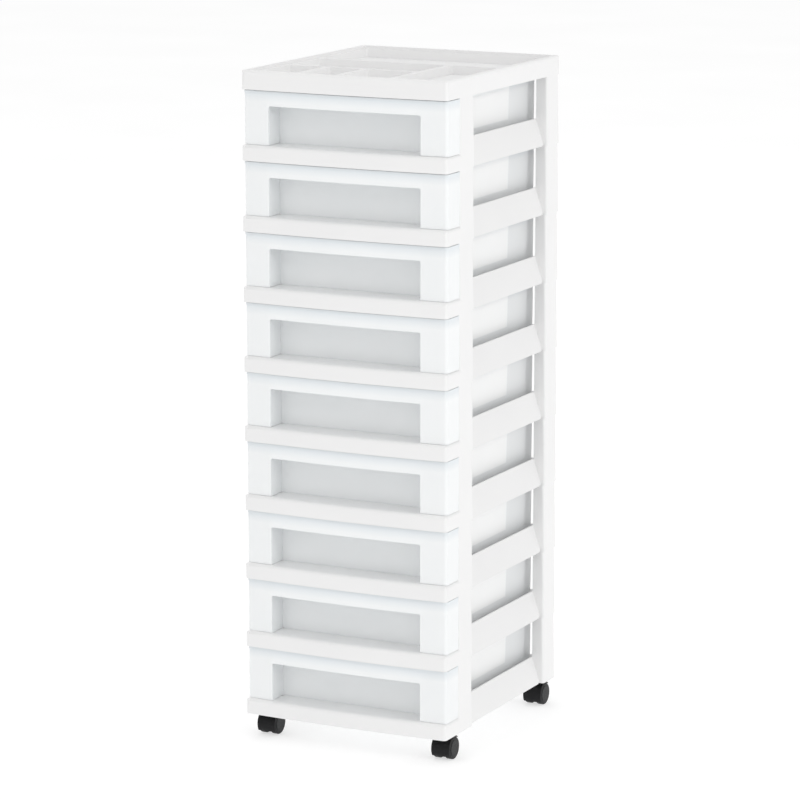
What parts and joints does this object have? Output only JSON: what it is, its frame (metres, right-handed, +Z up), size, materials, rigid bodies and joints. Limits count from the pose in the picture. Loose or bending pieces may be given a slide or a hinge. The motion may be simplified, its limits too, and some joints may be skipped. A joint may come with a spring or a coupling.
{
  "type": "plastic drawer tower",
  "caption": "Tall stacked plastic drawer tower: white tier frames with frosted pull-out drawers, an organizer tray on top and twin-wheel swivel casters below.",
  "frame": {"origin": "on the floor, under the middle of the plan", "axes": "+Z up, the drawers open towards -Y, +X to the right of someone who faces the drawers"},
  "size_m": [0.306, 0.362, 0.926],
  "materials": {
    "frame_white": "satin moulded polypropylene",
    "drawer_frosted": "frosted translucent polypropylene",
    "caster_black": "black moulded nylon",
    "wheel_black": "black moulded nylon",
    "caster_steel": "bright zinc plated"
  },
  "bodies": {
    "tower": {"organizer_top": "frame_white", "tier_frame_1": "frame_white", "tier_frame_2": "frame_white", "tier_frame_3": "frame_white", "tier_frame_4": "frame_white", "tier_frame_5": "frame_white", "tier_frame_6": "frame_white", "tier_frame_7": "frame_white", "tier_frame_8": "frame_white", "tier_frame_9": "frame_white"},
    "drawer_1": {"drawer_1": "drawer_frosted"},
    "drawer_2": {"drawer_2": "drawer_frosted"},
    "drawer_3": {"drawer_3": "drawer_frosted"},
    "drawer_4": {"drawer_4": "drawer_frosted"},
    "drawer_5": {"drawer_5": "drawer_frosted"},
    "drawer_6": {"drawer_6": "drawer_frosted"},
    "drawer_7": {"drawer_7": "drawer_frosted"},
    "drawer_8": {"drawer_8": "drawer_frosted"},
    "drawer_9": {"drawer_9": "drawer_frosted"},
    "caster_front_left": {"caster_front_left_hood": "caster_black", "caster_front_left_stem": "caster_steel", "caster_front_left_axle": "caster_steel"},
    "caster_front_left_wheel_left": {"caster_front_left_wheel_left": "wheel_black"},
    "caster_front_left_wheel_right": {"caster_front_left_wheel_right": "wheel_black"},
    "caster_front_right": {"caster_front_right_hood": "caster_black", "caster_front_right_stem": "caster_steel", "caster_front_right_axle": "caster_steel"},
    "caster_front_right_wheel_left": {"caster_front_right_wheel_left": "wheel_black"},
    "caster_front_right_wheel_right": {"caster_front_right_wheel_right": "wheel_black"},
    "caster_back_left": {"caster_back_left_hood": "caster_black", "caster_back_left_stem": "caster_steel", "caster_back_left_axle": "caster_steel"},
    "caster_back_left_wheel_left": {"caster_back_left_wheel_left": "wheel_black"},
    "caster_back_left_wheel_right": {"caster_back_left_wheel_right": "wheel_black"},
    "caster_back_right": {"caster_back_right_hood": "caster_black", "caster_back_right_stem": "caster_steel", "caster_back_right_axle": "caster_steel"},
    "caster_back_right_wheel_left": {"caster_back_right_wheel_left": "wheel_black"},
    "caster_back_right_wheel_right": {"caster_back_right_wheel_right": "wheel_black"}
  },
  "joints": [
    {"name": "drawer_1_slide", "type": "slide", "parent": "tower", "child": "drawer_1", "axis": [0, -1, 0], "range_m": [0, 0.29]},
    {"name": "drawer_2_slide", "type": "slide", "parent": "tower", "child": "drawer_2", "axis": [0, -1, 0], "range_m": [0, 0.29]},
    {"name": "drawer_3_slide", "type": "slide", "parent": "tower", "child": "drawer_3", "axis": [0, -1, 0], "range_m": [0, 0.29]},
    {"name": "drawer_4_slide", "type": "slide", "parent": "tower", "child": "drawer_4", "axis": [0, -1, 0], "range_m": [0, 0.29]},
    {"name": "drawer_5_slide", "type": "slide", "parent": "tower", "child": "drawer_5", "axis": [0, -1, 0], "range_m": [0, 0.29]},
    {"name": "drawer_6_slide", "type": "slide", "parent": "tower", "child": "drawer_6", "axis": [0, -1, 0], "range_m": [0, 0.29]},
    {"name": "drawer_7_slide", "type": "slide", "parent": "tower", "child": "drawer_7", "axis": [0, -1, 0], "range_m": [0, 0.29]},
    {"name": "drawer_8_slide", "type": "slide", "parent": "tower", "child": "drawer_8", "axis": [0, -1, 0], "range_m": [0, 0.29]},
    {"name": "drawer_9_slide", "type": "slide", "parent": "tower", "child": "drawer_9", "axis": [0, -1, 0], "range_m": [0, 0.29]},
    {"name": "caster_front_left_swivel", "type": "hinge", "parent": "tower", "child": "caster_front_left", "pos_m": [-0.134, -0.144, 0.036], "axis": [0, 0, 1], "continuous": true},
    {"name": "caster_front_left_wheel_left_spin", "type": "hinge", "parent": "caster_front_left", "child": "caster_front_left_wheel_left", "pos_m": [-0.134, -0.137, 0.0155], "axis": [1, 0, 0], "continuous": true},
    {"name": "caster_front_left_wheel_right_spin", "type": "hinge", "parent": "caster_front_left", "child": "caster_front_left_wheel_right", "pos_m": [-0.134, -0.137, 0.0155], "axis": [1, 0, 0], "continuous": true},
    {"name": "caster_front_right_swivel", "type": "hinge", "parent": "tower", "child": "caster_front_right", "pos_m": [0.134, -0.144, 0.036], "axis": [0, 0, 1], "continuous": true},
    {"name": "caster_front_right_wheel_left_spin", "type": "hinge", "parent": "caster_front_right", "child": "caster_front_right_wheel_left", "pos_m": [0.134, -0.137, 0.0155], "axis": [1, 0, 0], "continuous": true},
    {"name": "caster_front_right_wheel_right_spin", "type": "hinge", "parent": "caster_front_right", "child": "caster_front_right_wheel_right", "pos_m": [0.134, -0.137, 0.0155], "axis": [1, 0, 0], "continuous": true},
    {"name": "caster_back_left_swivel", "type": "hinge", "parent": "tower", "child": "caster_back_left", "pos_m": [-0.134, 0.154, 0.036], "axis": [0, 0, 1], "continuous": true},
    {"name": "caster_back_left_wheel_left_spin", "type": "hinge", "parent": "caster_back_left", "child": "caster_back_left_wheel_left", "pos_m": [-0.134, 0.161, 0.0155], "axis": [1, 0, 0], "continuous": true},
    {"name": "caster_back_left_wheel_right_spin", "type": "hinge", "parent": "caster_back_left", "child": "caster_back_left_wheel_right", "pos_m": [-0.134, 0.161, 0.0155], "axis": [1, 0, 0], "continuous": true},
    {"name": "caster_back_right_swivel", "type": "hinge", "parent": "tower", "child": "caster_back_right", "pos_m": [0.134, 0.154, 0.036], "axis": [0, 0, 1], "continuous": true},
    {"name": "caster_back_right_wheel_left_spin", "type": "hinge", "parent": "caster_back_right", "child": "caster_back_right_wheel_left", "pos_m": [0.134, 0.161, 0.0155], "axis": [1, 0, 0], "continuous": true},
    {"name": "caster_back_right_wheel_right_spin", "type": "hinge", "parent": "caster_back_right", "child": "caster_back_right_wheel_right", "pos_m": [0.134, 0.161, 0.0155], "axis": [1, 0, 0], "continuous": true}
  ]
}
